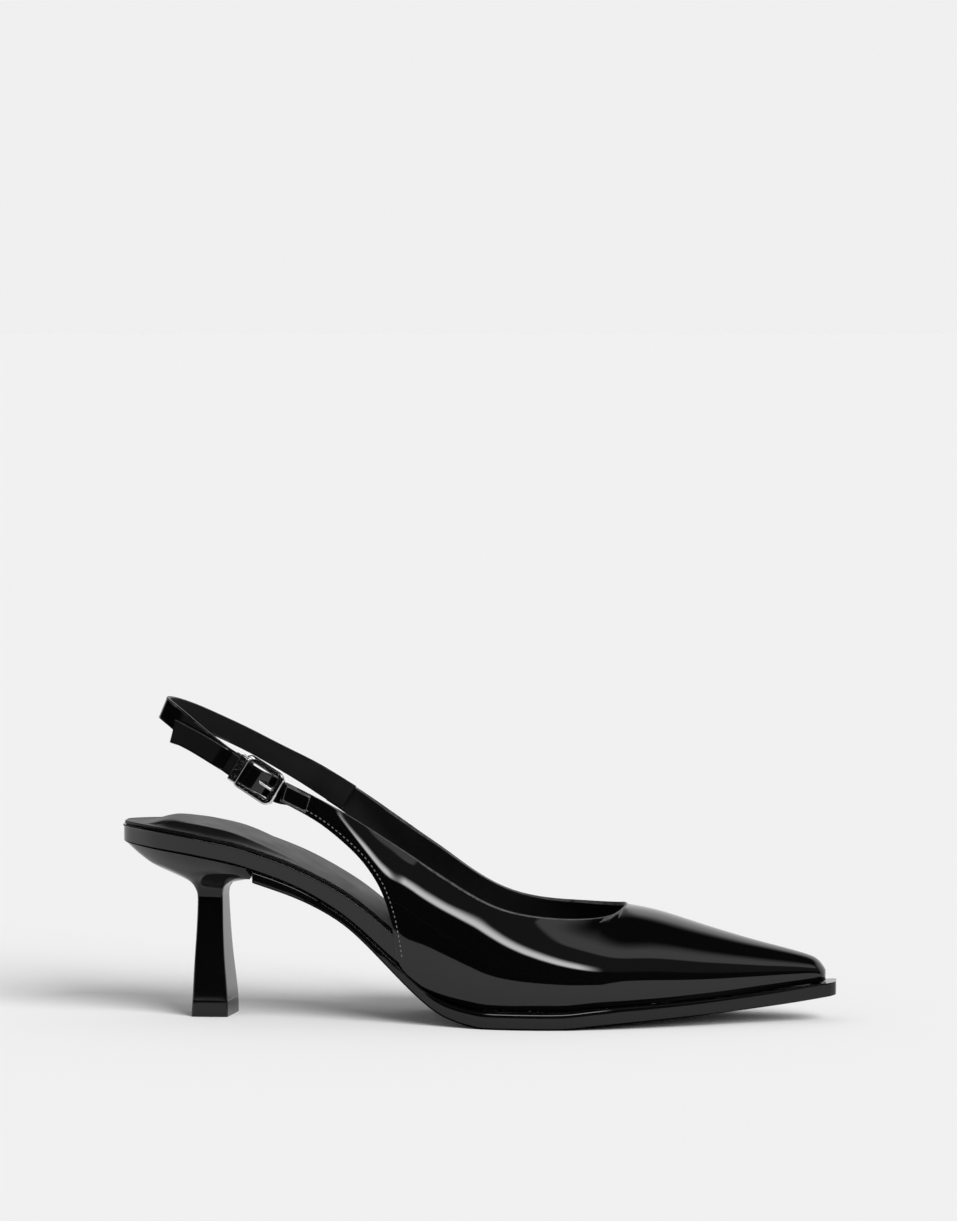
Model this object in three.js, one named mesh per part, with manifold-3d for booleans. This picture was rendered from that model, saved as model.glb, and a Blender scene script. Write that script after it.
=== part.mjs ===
import * as THREE from 'three';
import { mergeVertices } from 'three/addons/utils/BufferGeometryUtils.js';
import Module from 'manifold-3d';

const wasm = await Module();
wasm.setup();

// A right-foot slingback pump, standing on its sole and its heel.
// The toe points along +X, the inner side of the foot is +Y and the floor is Z = 0.
// All lengths are in millimetres.

// Overall sizes
const shoeLength = 250;
const ballWidth = 76;
const heelHeight = 59.5;
const toeSpring = 9.4;

// Walls, edges and clearances
const soleEdge = 6.1;
const bandHeight = 6.5;
const upperWall = 1.5;
const soleProjection = 2.5;
const soleInset = 1.2;
const toeCorner = 2.6;
const featherTuck = 1.2;
const featherRoll = 1.5;
const fitGap = 0.3;

// Heights and places of the upper's openings
const throatPlace = 176.8;
const upperLength = 246.4;
const instepHeight = 100;
const quarterHeight = 85.5;

// Heel and its wearing piece
const heelCentre = 31.2;
const heelFootLength = 12.8;
const heelFootWidth = 19;
const breastSkew = 1.9;
const heelNeckHeight = 41;
const liftThickness = 5.6;
const heelBreastPlace = 48.3;

// Board, insole and its pad
const boardSetback = 5.4;
const boardCorner = 1.5;
const sockSetback = 5;
const sockInset = 0.9;
const insoleThickness = 1.0;
const padHeight = 2.6;
const padMargin = 4;
const padSlope = 5;

// Straps
const strapWidth = 7.6;
const strapThickness = 1.6;
const tailWidth = 7.6;
const tailThickness = 1.4;
const tailPlace = 23.4;
const tailDrop = 3.6;
const strapReach = 110.3;
const strapHalfSpan = 28;
const strapRise = 107.8;
const rootSwell = 1.6;
const rootLap = 7.9;
const endLap = 2.3;
const tabLength = 8;
const tabWidth = 6;
const tabThickness = 0.9;

// Buckle
const buckleLength = 16;
const buckleWidth = 12.6;
const buckleBar = 2.2;
const buckleEndBar = 2.8;
const buckleCorner = 1.6;
const prongWidth = 1.5;
const keeperWidth = 3.3;
const keeperThickness = 0.8;

const heelBack = -shoeLength / 2;
const halfBall = ballWidth / 2;
const at = (place) => heelBack + place;
const along = (share) => at(share * shoeLength);

// Where the seat gives way to the waist, and where the tread meets the floor and leaves it again
const seatEnd = along(0.18);
const treadBack = along(0.524);
const treadFront = along(0.62);

// Reads one column of a table at a place, with a smooth curve that never overshoots its rows
function column(rows, key, name) {
  const xs = rows.map((row) => row[key]);
  const ys = rows.map((row) => row[name]);
  const chords = xs.slice(1).map((x, i) => (ys[i + 1] - ys[i]) / (x - xs[i]));
  const slopes = xs.map((x, i) => {
    if (i === 0) return chords[0];
    if (i === xs.length - 1) return chords[i - 1];
    if (chords[i - 1] * chords[i] <= 0) return 0;
    const before = xs[i] - xs[i - 1];
    const after = xs[i + 1] - xs[i];
    const share = (before + 2 * after) / chords[i - 1] + (2 * before + after) / chords[i];
    return (3 * (before + after)) / share;
  });
  return (x) => {
    const clamped = Math.min(Math.max(x, xs[0]), xs[xs.length - 1]);
    let i = 0;
    while (i < xs.length - 2 && clamped > xs[i + 1]) i += 1;
    const step = xs[i + 1] - xs[i];
    const t = (clamped - xs[i]) / step;
    const from = ys[i] * (1 + 2 * t) * (1 - t) * (1 - t);
    const to = ys[i + 1] * t * t * (3 - 2 * t);
    const leave = slopes[i] * step * t * (1 - t) * (1 - t);
    const arrive = slopes[i + 1] * step * t * t * (1 - t);
    return from + to + leave - arrive;
  };
}

const smooth = (from, to, x) => THREE.MathUtils.smoothstep(x, from, to);
const mix = THREE.MathUtils.lerp;

// The last's plan and side profile, one row for each section.
// at: share of the shoe's length; lateral and medial: shares of half the ball width;
// climb: share of the heel height; spring: share of the toe spring;
// edge: share of the sole's edge; board: share of the band's height.
const sections = [
  { at: 0.0, lateral: 0.0, medial: 0.0, climb: 1.0, spring: 0, edge: 0.25, board: 0.88 },
  { at: 0.02, lateral: 0.29, medial: 0.29, climb: 0.992, spring: 0, edge: 0.25, board: 0.92 },
  { at: 0.064, lateral: 0.55, medial: 0.55, climb: 0.971, spring: 0, edge: 0.25, board: 0.98 },
  { at: 0.124, lateral: 0.685, medial: 0.685, climb: 0.934, spring: 0, edge: 0.25, board: 0.97 },
  { at: 0.18, lateral: 0.7, medial: 0.69, climb: 0.84, spring: 0, edge: 0.66, board: 0.98 },
  { at: 0.208, lateral: 0.69, medial: 0.67, climb: 0.8, spring: 0, edge: 0.67, board: 0.98 },
  { at: 0.26, lateral: 0.66, medial: 0.62, climb: 0.718, spring: 0, edge: 0.6, board: 1.0 },
  { at: 0.316, lateral: 0.62, medial: 0.545, climb: 0.585, spring: 0, edge: 0.5, board: 1.17 },
  { at: 0.344, lateral: 0.62, medial: 0.515, climb: 0.486, spring: 0, edge: 0.54, board: 1.31 },
  { at: 0.372, lateral: 0.635, medial: 0.505, climb: 0.37, spring: 0, edge: 0.64, board: 1.42 },
  { at: 0.4, lateral: 0.67, medial: 0.52, climb: 0.257, spring: 0, edge: 0.76, board: 1.45 },
  { at: 0.428, lateral: 0.73, medial: 0.56, climb: 0.153, spring: 0, edge: 0.78, board: 1.33 },
  { at: 0.457, lateral: 0.8, medial: 0.63, climb: 0.07, spring: 0, edge: 0.84, board: 1.04 },
  { at: 0.486, lateral: 0.875, medial: 0.72, climb: 0.025, spring: 0, edge: 0.93, board: 0.75 },
  { at: 0.524, lateral: 0.96, medial: 0.84, climb: 0, spring: 0, edge: 1.0, board: 0.5 },
  { at: 0.572, lateral: 1.0, medial: 0.95, climb: 0, spring: 0, edge: 1.0, board: 0.36 },
  { at: 0.62, lateral: 0.985, medial: 1.0, climb: 0, spring: 0, edge: 1.0, board: 0.3 },
  { at: 0.68, lateral: 0.92, medial: 0.955, climb: 0, spring: 0.13, edge: 1.0, board: 0.26 },
  { at: 0.748, lateral: 0.785, medial: 0.825, climb: 0, spring: 0.28, edge: 0.92, board: 0.25 },
  { at: 0.816, lateral: 0.61, medial: 0.655, climb: 0, spring: 0.43, edge: 0.85, board: 0.25 },
  { at: 0.884, lateral: 0.415, medial: 0.475, climb: 0, spring: 0.6, edge: 0.82, board: 0.25 },
  { at: 0.932, lateral: 0.29, medial: 0.355, climb: 0, spring: 0.74, edge: 0.82, board: 0.25 },
  { at: 0.972, lateral: 0.19, medial: 0.265, climb: 0, spring: 0.88, edge: 0.8, board: 0.25 },
  { at: 1.0, lateral: 0.13, medial: 0.21, climb: 0, spring: 1, edge: 0.75, board: 0.25 },
];

const squared = sections.map((row) => ({ at: row.at, lateral: row.lateral ** 2, medial: row.medial ** 2 }));
const halfSquares = { lateral: column(squared, 'at', 'lateral'), medial: column(squared, 'at', 'medial') };
const climbShare = column(sections, 'at', 'climb');
const springShare = column(sections, 'at', 'spring');
const edgeShare = column(sections, 'at', 'edge');
const boardShare = column(sections, 'at', 'board');
const shareOf = (x) => (x - heelBack) / shoeLength;

// Half width of the tread's outline on one side
const outline = (side, x) => halfBall * Math.sqrt(Math.max(halfSquares[side](shareOf(x)), 0));
const soleUnder = (x) => climbShare(shareOf(x)) * heelHeight + springShare(shareOf(x)) * toeSpring;
const soleTop = (x) => soleUnder(x) + edgeShare(shareOf(x)) * soleEdge;
const boardTop = (x) => soleTop(x) + fitGap + boardShare(shareOf(x)) * bandHeight;

// How far the upper stands inside the tread's outline: it laps over the band behind the waist
const lapRows = [
  { at: 0, inside: -1 },
  { at: 0.38, inside: -1 },
  { at: 0.44, inside: 0.1 },
  { at: 0.5, inside: 1 },
  { at: 1, inside: 1 },
];
const lapShare = column(lapRows, 'at', 'inside');
function feather(side, x) {
  const inside = lapShare(shareOf(x));
  const stand = inside < 0 ? inside * (upperWall + fitGap) : inside * soleProjection;
  return outline(side, x) - stand;
}
const tuck = (x) => featherTuck * smooth(along(0.4), along(0.464), x);
const boardHalf = (side, x) => feather(side, x) - upperWall - tuck(x) - fitGap;

// Turns loops of points into one closed body: rings that follow each other, with flat ends
function loft(rings, closed = false) {
  const count = rings[0].length;
  const positions = rings.flat().flatMap((p) => [p.x, p.y, p.z]);
  const faces = [];
  const last = closed ? rings.length : rings.length - 1;
  for (let i = 0; i < last; i += 1) {
    const next = (i + 1) % rings.length;
    for (let j = 0; j < count; j += 1) {
      const k = (j + 1) % count;
      const a = i * count + j;
      const b = i * count + k;
      const c = next * count + k;
      const d = next * count + j;
      faces.push([a, b, c], [a, c, d]);
    }
  }
  if (!closed) {
    [rings[0], rings[rings.length - 1]].forEach((ring, end) => {
      const centre = ring.reduce((sum, p) => sum.add(p), new THREE.Vector3()).divideScalar(count);
      const hub = positions.length / 3;
      positions.push(centre.x, centre.y, centre.z);
      const base = end === 0 ? 0 : (rings.length - 1) * count;
      for (let j = 0; j < count; j += 1) {
        const k = (j + 1) % count;
        faces.push(end === 0 ? [hub, base + k, base + j] : [hub, base + j, base + k]);
      }
    });
  }
  return body(positions, faces);
}

// Builds a geometry from points and faces, with shared points merged and its faces turned outwards
function body(positions, faces) {
  const raw = new THREE.BufferGeometry();
  raw.setAttribute('position', new THREE.Float32BufferAttribute(positions, 3));
  raw.setIndex(faces.flat());
  const merged = mergeVertices(raw, 1e-4);
  const place = merged.getAttribute('position');
  const index = Array.from(merged.getIndex().array);
  const corners = [new THREE.Vector3(), new THREE.Vector3(), new THREE.Vector3()];
  const kept = [];
  let volume = 0;
  for (let i = 0; i < index.length; i += 3) {
    const trio = index.slice(i, i + 3);
    if (new Set(trio).size === 3) {
      trio.forEach((v, n) => corners[n].fromBufferAttribute(place, v));
      volume += corners[0].dot(corners[1].clone().cross(corners[2]));
      kept.push(trio);
    }
  }
  const turned = volume < 0 ? kept.map(([a, b, c]) => [a, c, b]) : kept;
  merged.setIndex(turned.flat());
  return merged;
}

function toSolid(geometry) {
  const bare = new THREE.BufferGeometry();
  bare.setAttribute('position', geometry.getAttribute('position').clone());
  bare.setIndex(geometry.getIndex());
  const merged = mergeVertices(bare, 1e-4);
  return new wasm.Manifold(new wasm.Mesh({
    numProp: 3,
    vertProperties: Float32Array.from(merged.getAttribute('position').array),
    triVerts: Uint32Array.from(merged.getIndex().array),
  }));
}

function fromSolid(solid) {
  const mesh = solid.getMesh();
  const geometry = new THREE.BufferGeometry();
  geometry.setAttribute('position', new THREE.BufferAttribute(Float32Array.from(mesh.vertProperties), 3));
  geometry.setIndex(Array.from(mesh.triVerts));
  return geometry;
}

// Stations between two places, closer together towards a rounded end
function stations(from, to, count, roundStart, roundEnd) {
  return Array.from({ length: count + 1 }, (_, i) => {
    const t = i / count;
    const eased = roundStart && roundEnd ? (1 - Math.cos(Math.PI * t)) / 2
      : roundStart ? 1 - Math.cos((Math.PI / 2) * t)
        : roundEnd ? Math.sin((Math.PI / 2) * t) : t;
    return mix(from, to, eased);
  });
}

// Rounds a toe's square end: how much narrower a side is at a place near the end
function cornerLoss(x, end, radius) {
  const into = Math.min(Math.max(x - (end - radius), 0), radius);
  return radius - Math.sqrt(radius * radius - into * into);
}

// A plate that follows the last: each ring goes round one cross-section
function plate({ places, half, low, high, across }) {
  return loft(places.map((x) => across.map(({ out, up }) => {
    const side = out < 0 ? 'lateral' : 'medial';
    const y = out * Math.max(half(side, x), 0.05);
    return new THREE.Vector3(x, y, mix(low(x), high(x, out), up));
  })));
}

// Outsole: flat tread and straight edge with eased corners
const soleEnd = at(shoeLength);
function makeOutsole() {
  const waistInset = (x) => soleInset * (1 - smooth(along(0.352), along(0.432), x));
  const half = (side, x) => outline(side, x) - waistInset(x) - cornerLoss(x, soleEnd, toeCorner);
  const across = [
    { out: -0.985, up: 0 }, { out: -1, up: 0.16 }, { out: -1, up: 0.84 }, { out: -0.985, up: 1 },
    { out: -0.5, up: 1 }, { out: 0.5, up: 1 },
    { out: 0.985, up: 1 }, { out: 1, up: 0.84 }, { out: 1, up: 0.16 }, { out: 0.985, up: 0 },
    { out: 0.5, up: 0 }, { out: -0.5, up: 0 },
  ];
  const waist = stations(at(heelBreastPlace + fitGap), treadBack, 18, false, false);
  const ball = stations(treadBack, treadFront, 2, false, false).slice(1);
  const fore = stations(treadFront, soleEnd - toeCorner, 15, false, false).slice(1);
  const tip = stations(soleEnd - toeCorner, soleEnd, 4, false, true).slice(1);
  return plate({ places: [...waist, ...ball, ...fore, ...tip], half, low: soleUnder, high: soleTop, across });
}

// Footbed: the covered board, whose edge is the band round the seat, with a thin piping on top
const boardEnd = at(upperLength - boardSetback);
function makeFootbed() {
  const half = (side, x) => boardHalf(side, x) - cornerLoss(x, boardEnd, boardCorner);
  const across = [
    { out: -0.95, up: 0 }, { out: -0.965, up: 0.14 }, { out: -0.988, up: 0.84 },
    { out: -1, up: 0.9 }, { out: -0.985, up: 1 },
    { out: -0.5, up: 1 }, { out: 0.5, up: 1 },
    { out: 0.985, up: 1 }, { out: 1, up: 0.9 },
    { out: 0.988, up: 0.84 }, { out: 0.965, up: 0.14 }, { out: 0.95, up: 0 },
    { out: 0.5, up: 0 }, { out: -0.5, up: 0 },
  ];
  const seat = stations(heelBack, seatEnd, 12, true, false);
  const waist = stations(seatEnd, treadBack, 20, false, false).slice(1);
  const fore = stations(treadBack, boardEnd, 14, false, true).slice(1);
  return plate({
    places: [...seat, ...waist, ...fore],
    half,
    low: (x) => soleTop(x) + fitGap,
    high: (x) => boardTop(x),
    across,
  });
}

// Insole: the sock follows the board and swells into a pad under the heel
const sockEnd = boardEnd - sockSetback;
function makeInsole() {
  const half = (side, x) => boardHalf(side, x) - sockInset - cornerLoss(x, sockEnd, boardCorner);
  const floor = (x) => boardTop(x) + fitGap;
  const padStart = at(2 * padMargin);
  const padLength = smoothRun(padStart, padStart + 2 * padSlope, along(0.128), along(0.272));
  const high = (x, out) => {
    const side = out < 0 ? 'lateral' : 'medial';
    const fromEdge = half(side, x) * (1 - Math.abs(out));
    const crown = smooth(padMargin, padMargin + padSlope, fromEdge);
    return floor(x) + insoleThickness + padHeight * crown * padLength(x);
  };
  const top = [-1, -0.88, -0.78, -0.68, -0.58, 0, 0.58, 0.68, 0.78, 0.88, 1].map((out) => ({ out, up: 1 }));
  const across = [...top, { out: 1, up: 0 }, { out: 0, up: 0 }, { out: -1, up: 0 }];
  const back = heelBack + sockInset;
  const seat = stations(back, seatEnd, 12, true, false);
  const waist = stations(seatEnd, treadBack, 16, false, false).slice(1);
  const fore = stations(treadBack, sockEnd, 10, false, true).slice(1);
  return plate({ places: [...seat, ...waist, ...fore], half, low: floor, high, across });
}

function smoothRun(riseFrom, riseTo, fallFrom, fallTo) {
  return (x) => smooth(riseFrom, riseTo, x) * (1 - smooth(fallFrom, fallTo, x));
}

// Heel block: shaft sections first, each a rectangle with rounded corners
// height: share of the neck's height; length and width: shares of the foot's; shift: forward, in foot lengths
const shaftRows = [
  { height: 0, length: 1.0, width: 1.0, shift: 0 },
  { height: 0.14, length: 0.97, width: 0.985, shift: 0.01 },
  { height: 0.56, length: 0.8, width: 0.85, shift: -0.01 },
  { height: 0.85, length: 0.71, width: 0.735, shift: 0.0 },
  { height: 1.0, length: 0.69, width: 0.69, shift: 0.0 },
];
// The flare from the neck to the seat: how far each side has gone at a share of the rise
const flareRows = [
  { rise: 0.0, back: 0.0, breast: 0.0 },
  { rise: 0.14, back: 0.02, breast: 0.005 },
  { rise: 0.28, back: 0.08, breast: 0.02 },
  { rise: 0.38, back: 0.21, breast: 0.05 },
  { rise: 0.5, back: 0.43, breast: 0.15 },
  { rise: 0.58, back: 0.57, breast: 0.36 },
  { rise: 0.65, back: 0.675, breast: 0.66 },
  { rise: 0.72, back: 0.75, breast: 0.94 },
  { rise: 0.82, back: 0.85, breast: 0.99 },
  { rise: 1.0, back: 1.0, breast: 1.0 },
];
const ringCount = 28;
const shaftSquareness = 14;
const seatInset = 0.6;
const shaftLength = column(shaftRows, 'height', 'length');
const shaftWidth = column(shaftRows, 'height', 'width');
const shaftShift = column(shaftRows, 'height', 'shift');
const flareBack = column(flareRows, 'rise', 'back');
const flareBreast = column(flareRows, 'rise', 'breast');
const ringAngles = Array.from({ length: ringCount }, (_, n) => (2 * Math.PI * n) / ringCount);

// One rectangle of the shaft with rounded corners, as a squared-off ellipse; its breast is skewed,
// further forward on the inner side
function shaftRing(z) {
  const share = z / heelNeckHeight;
  const bend = (value) => Math.sign(value) * Math.abs(value) ** (2 / shaftSquareness);
  const middle = at(heelCentre) + heelFootLength * shaftShift(share);
  return ringAngles.map((angle) => {
    const ahead = bend(Math.cos(angle));
    const aside = bend(Math.sin(angle));
    const skew = breastSkew * shaftWidth(share) ** 2 * smooth(-1, 1, ahead) * ((1 + aside) / 2);
    const x = middle + (heelFootLength / 2) * shaftLength(share) * ahead + skew;
    return new THREE.Vector3(x, (heelFootWidth / 2) * shaftWidth(share) * aside, z);
  });
}

// The seat's edge under the band, seen from the shaft's middle in one direction
function seatPoint(direction) {
  const front = at(heelBreastPlace);
  let near = 0;
  let far = shoeLength / 4;
  for (let i = 0; i < 30; i += 1) {
    const r = (near + far) / 2;
    const x = at(heelCentre) + r * Math.cos(direction);
    const y = r * Math.sin(direction);
    const inside = x < front && x > heelBack + seatInset
      && Math.abs(y) < outline(y < 0 ? 'lateral' : 'medial', x) - seatInset;
    if (inside) near = r;
    else far = r;
  }
  const x = at(heelCentre) + near * Math.cos(direction);
  return new THREE.Vector3(x, near * Math.sin(direction), soleTop(x));
}

function makeHeel() {
  const base = liftThickness + fitGap;
  const heights = [0, 0.2, 0.42, 0.7, 1].map((share) => mix(base, heelNeckHeight, share));
  const rings = heights.map(shaftRing);
  const neck = rings[rings.length - 1];
  const seat = ringAngles.map(seatPoint);
  flareRows.slice(1).forEach(({ rise }) => {
    rings.push(neck.map((p, n) => {
      const facing = 1 - smooth(0.2, 0.85, Math.cos(ringAngles[n]));
      const out = mix(flareBreast(rise), flareBack(rise), facing);
      return new THREE.Vector3(
        mix(p.x, seat[n].x, out),
        mix(p.y, seat[n].y, out),
        mix(heelNeckHeight, seat[n].z, rise),
      );
    }));
  });
  [0.75, 0.5, 0.25].forEach((share) => rings.push(seat.map((p) => {
    const x = mix(at(heelCentre), p.x, share);
    return new THREE.Vector3(x, p.y * share, soleTop(x));
  })));
  return loft(rings);
}

function makeTopLift() {
  return loft([0, liftThickness].map(shaftRing));
}

// The sling's line round the ankle, from the inner quarter to the hinge bar.
// reach, span and rise: shares of the strap's reach behind the origin, its half span and its rise
const slingRows = [
  { reach: 0.445, span: 0.955, rise: 0.684 },
  { reach: 0.508, span: 0.965, rise: 0.7235 },
  { reach: 0.562, span: 0.995, rise: 0.758 },
  { reach: 0.653, span: 0.985, rise: 0.8135 },
  { reach: 0.752, span: 0.92, rise: 0.872 },
  { reach: 0.852, span: 0.768, rise: 0.9255 },
  { reach: 0.934, span: 0.518, rise: 0.97 },
  { reach: 0.985, span: 0.25, rise: 0.9945 },
  { reach: 1.0, span: 0, rise: 1.0 },
  { reach: 0.986, span: -0.25, rise: 0.9965 },
  { reach: 0.943, span: -0.54, rise: 0.9745 },
  { reach: 0.874, span: -0.8, rise: 0.9265 },
  { reach: 0.801, span: -0.955, rise: 0.873 },
  { reach: 0.731, span: -1.0, rise: 0.8285 },
];
const slingLean = 0.42;
const slingLine = new THREE.CatmullRomCurve3(slingRows.map(({ reach, span, rise }) => (
  new THREE.Vector3(-reach * strapReach, span * strapHalfSpan, rise * strapRise))));

// One station of the sling, its face standing off the line by an offset
function slingStation(share, offset) {
  const along = slingLine.getTangentAt(share);
  const flat = new THREE.Vector3(along.x, along.y, 0).normalize();
  const outward = flat.clone().cross(new THREE.Vector3(0, 0, 1));
  const lean = slingLean * Math.max(-outward.x, 0);
  const upright = new THREE.Vector3(0, 0, 1).addScaledVector(outward, -lean);
  const up = upright.addScaledVector(along, -upright.dot(along)).normalize();
  const out = along.clone().cross(up).normalize();
  const place = slingLine.getPointAt(share).addScaledVector(out, offset);
  return { place, up, out };
}

// The buckle's own frame: along the strap towards the toe, up the strap's width, and out of its face
const hinge = slingStation(1, 0);
const buckleAlong = slingLine.getTangentAt(1);
const hingeSetback = buckleLength / 2 - buckleBar / 2;
const wrapThickness = 1.1;
const foldLength = 2.6;
const wrapRadius = buckleBar / 2 + fitGap + wrapThickness / 2;
const buckleCentre = hinge.place.clone().addScaledVector(buckleAlong, hingeSetback + buckleBar / 2 + fitGap);
function onBuckle(along, up, out) {
  return buckleCentre.clone()
    .addScaledVector(buckleAlong, along)
    .addScaledVector(hinge.up, up)
    .addScaledVector(hinge.out, out);
}

// Stations along a route drawn in the buckle's own frame
function buckleRoute(points, samples, side = 1) {
  const curve = new THREE.CatmullRomCurve3(points.map(([a, o]) => new THREE.Vector3(a, 0, o)));
  return Array.from({ length: samples + 1 }, (_, i) => {
    const p = curve.getPointAt(i / samples);
    const t = curve.getTangentAt(i / samples);
    const along = buckleAlong.clone().multiplyScalar(t.x).addScaledVector(hinge.out, t.z);
    const out = along.cross(hinge.up).normalize().multiplyScalar(side);
    return { place: onBuckle(p.x, 0, p.z), up: hinge.up, out };
  });
}

// Sections of the upper on the last.
// at: share of the upper's length; ridge: height of the last's ridge over the sole's top, as a share of
// the instep; lateral and medial: how far each side swells past its feather line, and spread: how much
// wider the last's foot is than the feather line, shares of half the ball width
const upperRows = [
  { at: 0.2394, ridge: 0.7, lateral: 0.22, medial: 0.245, spread: 0 },
  { at: 0.2841, ridge: 0.66, lateral: 0.2, medial: 0.265, spread: 0.02 },
  { at: 0.3247, ridge: 0.6, lateral: 0.155, medial: 0.265, spread: 0.06 },
  { at: 0.3856, ridge: 0.55, lateral: 0.1, medial: 0.235, spread: 0.085 },
  { at: 0.416, ridge: 0.57, lateral: 0.095, medial: 0.205, spread: 0.03 },
  { at: 0.4464, ridge: 0.6, lateral: 0.1, medial: 0.185, spread: 0 },
  { at: 0.5073, ridge: 0.6, lateral: 0.065, medial: 0.11, spread: 0 },
  { at: 0.5682, ridge: 0.525, lateral: 0.05, medial: 0.08, spread: 0 },
  { at: 0.6291, ridge: 0.436, lateral: 0.045, medial: 0.06, spread: 0 },
  { at: 0.6899, ridge: 0.354, lateral: 0.04, medial: 0.05, spread: 0 },
  { at: 0.7175, ridge: 0.323, lateral: 0.04, medial: 0.045, spread: 0 },
  { at: 0.7386, ridge: 0.316, lateral: 0.04, medial: 0.04, spread: 0 },
  { at: 0.765, ridge: 0.297, lateral: 0.035, medial: 0.035, spread: 0 },
  { at: 0.8218, ridge: 0.244, lateral: 0.03, medial: 0.03, spread: 0 },
  { at: 0.8969, ridge: 0.173, lateral: 0.03, medial: 0.03, spread: 0 },
  { at: 0.9639, ridge: 0.111, lateral: 0.03, medial: 0.03, spread: 0 },
  { at: 0.9852, ridge: 0.087, lateral: 0.03, medial: 0.03, spread: 0 },
  { at: 0.9953, ridge: 0.058, lateral: 0.02, medial: 0.02, spread: 0 },
  { at: 1, ridge: 0.035, lateral: 0.01, medial: 0.01, spread: 0 },
];
const ridgeShare = column(upperRows, 'at', 'ridge');
const spreadShare = column(upperRows, 'at', 'spread');
const swell = { lateral: column(upperRows, 'at', 'lateral'), medial: column(upperRows, 'at', 'medial') };
const upperShare = (x) => (x - heelBack) / upperLength;
const domeSquareness = 0.86;
const toeOffset = 2;
const toeRounding = 3.2;
const toeTaper = 18.4;
const upperEnd = at(upperLength);

// A point of the upper's outer face: turn 0 is the feather line and turn 1 the ridge
function upperPoint(side, x, turn) {
  const angle = (Math.PI / 2) * turn;
  const low = soleTop(x) + fitGap;
  const share = upperShare(x);
  const rise = ridgeShare(share) * instepHeight;
  const middle = toeOffset * smooth(treadFront, upperEnd, x);
  const sign = side === 'lateral' ? -1 : 1;
  const foot = feather(side, x) + halfBall * spreadShare(share) - cornerLoss(x, upperEnd, toeRounding);
  const width = foot - sign * middle;
  const up = Math.sin(angle) ** domeSquareness;
  const roll = tuck(x) * (1 - smooth(0, featherRoll / rise, up));
  const bulge = halfBall * swell[side](share) * Math.sin(2 * angle);
  const across = width * Math.cos(angle) ** domeSquareness + bulge - roll;
  return new THREE.Vector3(x, middle + sign * across, low + rise * up);
}

// The turn at which a side of the upper reaches a height
function turnAtHeight(side, x, z) {
  let below = 0;
  let above = 1;
  for (let i = 0; i < 40; i += 1) {
    const turn = (below + above) / 2;
    if (upperPoint(side, x, turn).z < z) below = turn;
    else above = turn;
  }
  return (below + above) / 2;
}

// Topline of each quarter. place: share of the throat's place; height: share of the quarters' height
const topRows = {
  lateral: [
    { place: 0.333, height: 1.0 },
    { place: 0.375, height: 0.958 },
    { place: 0.451, height: 0.873 },
    { place: 0.51, height: 0.795 },
    { place: 0.569, height: 0.714 },
    { place: 0.667, height: 0.585 },
    { place: 0.726, height: 0.517 },
    { place: 0.765, height: 0.483 },
    { place: 0.804, height: 0.462 },
    { place: 0.863, height: 0.4445 },
    { place: 0.921, height: 0.4375 },
    { place: 0.96, height: 0.4405 },
    { place: 0.984, height: 0.4505 },
  ],
  medial: [
    { place: 0.333, height: 1.037 },
    { place: 0.435, height: 0.924 },
    { place: 0.536, height: 0.792 },
    { place: 0.637, height: 0.653 },
    { place: 0.698, height: 0.558 },
    { place: 0.738, height: 0.509 },
    { place: 0.778, height: 0.477 },
    { place: 0.82, height: 0.46 },
    { place: 0.87, height: 0.452 },
    { place: 0.94, height: 0.452 },
    { place: 0.98, height: 0.458 },
  ],
};
// Lower edge of each quarter, from its end forward and down to the sole, in the same shares
const lowRows = [
  { place: 0.333, height: 0.909 },
  { place: 0.372, height: 0.868 },
  { place: 0.411, height: 0.82 },
  { place: 0.45, height: 0.756 },
  { place: 0.489, height: 0.68 },
  { place: 0.509, height: 0.627 },
  { place: 0.525, height: 0.575 },
  { place: 0.537, height: 0.522 },
  { place: 0.549, height: 0.44 },
  { place: 0.557, height: 0.355 },
  { place: 0.564, height: 0.262 },
];
const quarterEnds = {
  lateral: buckleCentre.x + buckleLength / 2 - endLap,
  medial: slingLine.getPoint(0).x - rootLap,
};
const endSlant = 4;
const throatRow = { place: 1, height: upperPoint('lateral', at(throatPlace), 1).z / quarterHeight };
const topline = {
  lateral: column([...topRows.lateral, throatRow], 'place', 'height'),
  medial: column([...topRows.medial, throatRow], 'place', 'height'),
};
const lowEdge = new THREE.CatmullRomCurve3(
  lowRows.map(({ place, height }) => new THREE.Vector3(at(place * throatPlace), 0, height * quarterHeight)),
);
const collarPlace = 0.6335;
const edgeColumns = 13;
const sideColumns = 15;
const vampColumns = 17;
const tipColumns = 6;
const wallRows = 9;

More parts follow.
